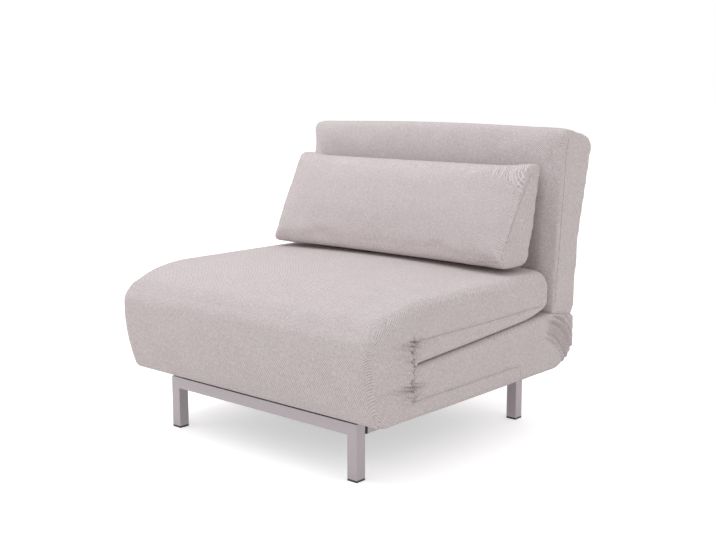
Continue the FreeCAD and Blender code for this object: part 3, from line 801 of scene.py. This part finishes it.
def run(name, lines, material, **values):
    """Sets stitches or staples along lines of points, and makes them a plain mesh."""
    points, edges = [], []
    for line in lines:
        edges += [(len(points) + i, len(points) + i + 1) for i in range(len(line) - 1)]
        points += [tuple(point) for point in line]
    piece = mesh_object(name, points, edges, [])
    modifier = piece.modifiers.new("run", "NODES")
    modifier.node_group = RUN_TREE
    for item in RUN_TREE.interface.items_tree:
        if item.in_out == "INPUT" and item.name in values:
            modifier[item.identifier] = values[item.name]
        if item.in_out == "INPUT" and item.name == "Material":
            modifier[item.identifier] = material
    apply_modifiers(piece)
    piece.data.polygons.foreach_set("use_smooth", [True] * len(piece.data.polygons))
    return piece


def cast(piece, starts, direction, lift=0.0002):
    """Lays points on a piece's cover, along one direction; points that miss are left out."""
    tree = BVHTree.FromPolygons(
        [v.co for v in piece.data.vertices], [p.vertices for p in piece.data.polygons]
    )
    line = []
    for start in starts:
        place, normal = tree.ray_cast(Vector(start), Vector(direction))[:2]
        if place is not None:
            line.append(place + normal * lift)
    return line


def side_line(line, step=0.006):
    """A polyline of (y, z), filled with points at a step."""
    points = [line[0]]
    for (y0, z0), (y1, z1) in zip(line[:-1], line[1:]):
        count = max(1, round(math.hypot(y1 - y0, z1 - z0) / step))
        points += [
            (y0 + (y1 - y0) * i / count, z0 + (z1 - z0) * i / count) for i in range(1, count + 1)
        ]
    return points


def both_sides(piece, line):
    """The same (y, z) line laid on the left and the right side of a piece."""
    return [
        cast(piece, [(side * 0.7, y, z) for y, z in side_line(line)], (-side, 0, 0))
        for side in (-1, 1)
    ]


# Taupe thread, a shade darker than the cloth, so that a seam reads as a fine line.
THREAD_FINISH = plain("bonded_sewing_thread", "857A78", "A0958F", 3000, 0.7)
STITCH = {"Pitch": 0.0055, "Length": 0.0042, "Radius": 0.00045, "Rise": 0.0003}
PILLOW_SEAM = [(0.080, 0.474), (0.130, 0.575), (0.176, 0.652), (0.207, 0.698)]
BACK_SEAM = [(0.284, 0.350), (0.303, 0.560), (0.320, 0.760), (0.326, 0.785)]
for name, piece, body, lines in (
    ("upper_seam_stitches", upper_seat, "foot_section",
     both_sides(upper_seat, [(-0.316, 0.3465)] + UPPER_SEAM[1:])),
    ("lower_seam_stitches", lower_seat, "seat_base",
     both_sides(lower_seat, [(-0.316, 0.2045)] + LOWER_SEAM[1:-1])),
    ("pillow_seam_stitches", pillow, "lumbar_pillow", both_sides(pillow, PILLOW_SEAM)),
    ("back_seam_stitches", back, "back", both_sides(back, BACK_SEAM) + [
        cast(back, [(x, 0.322, 0.95) for x in np.linspace(-0.425, 0.425, 80)], (0, 0, -1))
    ]),
):
    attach(run(name, lines, THREAD_FINISH, **STITCH), body)

# ---------------------------------------------------------------------------------------------
# Lining. Thin black spunbond cloth drawn flat under the seat base, its edges folded in and
# stapled. It sags a few millimetres and shows faint tension lines at the staples.

LINING = (-0.300, 0.300, -0.395, 0.245)
STAPLE_PITCH = 0.055


def lining():
    """Two skins 0.5 mm apart, with a hem twice as thick along all four edges."""
    x0, x1, y0, y1 = LINING
    xs, ys = np.linspace(x0, x1, 121), np.linspace(y0, y1, 129)
    x, y = np.meshgrid(xs, ys, indexing="ij")
    edge = np.minimum(np.minimum(x - x0, x1 - x), np.minimum(y - y0, y1 - y))
    around = np.where(np.minimum(x - x0, x1 - x) < np.minimum(y - y0, y1 - y), y, x)
    sag = 0.0030 * smooth(0.02, 0.16, edge)
    pull = 0.0006 * np.cos(around * 2 * np.pi / STAPLE_PITCH) * smooth(0.09, 0.015, edge)
    hem = 0.0005 * smooth(0.018, 0.014, edge)
    low = 0.1590 - sag - pull - hem
    count = x.size
    points = np.column_stack([
        np.tile(x.ravel(), 2), np.tile(y.ravel(), 2),
        np.concatenate([low.ravel(), (low + hem + 0.0005).ravel()]),
    ])
    number = np.arange(count).reshape(x.shape)
    a, b, c, d = number[:-1, :-1], number[1:, :-1], number[1:, 1:], number[:-1, 1:]
    under = np.stack([a, d, c, b], -1).reshape(-1, 4)
    over = np.stack([a, b, c, d], -1).reshape(-1, 4) + count
    border = list(number[:, 0]) + list(number[-1, 1:]) + list(number[-2::-1, -1])
    border += list(number[0, -2:0:-1])
    ends = [
        (border[i], border[(i + 1) % len(border)], border[(i + 1) % len(border)] + count,
         border[i] + count) for i in range(len(border))
    ]
    faces = under.tolist() + over.tolist() + ends
    return face_outward(mesh_object("underside_lining", points.tolist(), [], faces))


underside = dress(lining(), FINISH["black_lining"])
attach(underside, "seat_base")
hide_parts("dust_cloth")
rim_line = [
    (x, y, 0.1584) for x, y in (
        (-0.292, -0.387), (0.292, -0.387), (0.292, 0.237), (-0.292, 0.237), (-0.292, -0.387)
    )
]
staples = run(
    "lining_staples", [rim_line], FINISH["zinc_steel"],
    Pitch=STAPLE_PITCH, Length=0.010, Radius=0.0004, Rise=0.0,
)
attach(staples, "seat_base")

# ---------------------------------------------------------------------------------------------
# Studio: a pale floor, a large soft lamp overhead, weaker ones to the front left and the right,
# and an even white surround that the camera sees as pure white.

floor = mesh_object(
    "floor", [(-12, -12, 0), (12, -12, 0), (12, 12, 0), (-12, 12, 0)], [], [(0, 1, 2, 3)]
)


def direct_rays(tree):
    """1 for the rays that look at the studio itself: camera, mirror and glass rays."""
    path = add_node(tree, "ShaderNodeLightPath").outputs
    either = maths(tree, "MAXIMUM", path["Is Camera Ray"], path["Is Glossy Ray"])
    return maths(tree, "MAXIMUM", either, path["Is Transmission Ray"])


material = bpy.data.materials.new("studio_floor")
material.use_nodes = True
tree = material.node_tree
tree.nodes.clear()
matt = add_node(tree, "ShaderNodeBsdfDiffuse", Color=linear("F2F1F0"))
lift = maths(tree, "MULTIPLY", direct_rays(tree), 0.5)
glow = add_node(tree, "ShaderNodeEmission", Color=linear("FFFFFF"), Strength=lift)
both = add_node(tree, "ShaderNodeAddShader", i0=matt.outputs[0], i1=glow.outputs[0])
add_node(tree, "ShaderNodeOutputMaterial", Surface=both.outputs[0])
floor.data.materials.append(material)

world = bpy.data.worlds.new("studio")
bpy.context.scene.world = world
world.use_nodes = True
tree = world.node_tree
tree.nodes.clear()
surround = add_node(tree, "ShaderNodeBackground", Color=linear("FFFFFF"), Strength=0.80)
white = add_node(tree, "ShaderNodeBackground", Color=linear("FFFFFF"), Strength=1.0)
mixed = add_node(
    tree, "ShaderNodeMixShader", i0=direct_rays(tree), i1=surround.outputs[0], i2=white.outputs[0]
)
add_node(tree, "ShaderNodeOutputWorld", Surface=mixed.outputs[0])


def soft_lamp(name, place, target, width, power):
    """A square area lamp of slightly cool light, its width in metres and power in watts."""
    data = bpy.data.lights.new(name, "AREA")
    data.shape = "SQUARE"
    data.size = width
    data.energy = power
    data.color = (0.93, 0.965, 1.0)
    lamp = bpy.data.objects.new(name, data)
    lamp.location = place
    lamp.rotation_euler = (Vector(target) - Vector(place)).to_track_quat("-Z", "Y").to_euler()
    bpy.context.collection.objects.link(lamp)


soft_lamp("overhead_softbox", (-0.9, -0.8, 3.2), (0, -0.1, 0.4), 2.4, 36)
soft_lamp("front_left_softbox", (-2.6, -2.8, 1.8), (0, 0, 0.4), 2.0, 8)
soft_lamp("right_softbox", (3.4, 0.6, 2.2), (0, 0, 0.4), 1.4, 9)

# ---------------------------------------------------------------------------------------------
# Camera, at the place and with the field of view found from the leg frames and cushion edges.

SENSOR = 36                 # mm
FOCAL_LENGTH = 1120.07      # pixels
IMAGE_WIDTH = 716           # pixels
CAMERA_PLACE = (2.022, -2.277, 0.940)

camera_data = bpy.data.cameras.new("camera")
camera_data.sensor_fit = "HORIZONTAL"
camera_data.sensor_width = SENSOR
camera_data.lens = FOCAL_LENGTH / IMAGE_WIDTH * SENSOR
camera = bpy.data.objects.new("camera", camera_data)
yaw, pitch, roll = math.radians(41.64), math.radians(9.61), -0.002
forward = Vector(
    (-math.sin(yaw) * math.cos(pitch), math.cos(yaw) * math.cos(pitch), -math.sin(pitch))
)
turn = forward.to_track_quat("-Z", "Y").to_matrix() @ Matrix.Rotation(roll, 3, "Z")
camera.matrix_world = Matrix.Translation(CAMERA_PLACE) @ turn.to_4x4()
bpy.context.collection.objects.link(camera)
bpy.context.scene.camera = camera
bpy.context.scene.view_settings.view_transform = "Standard"
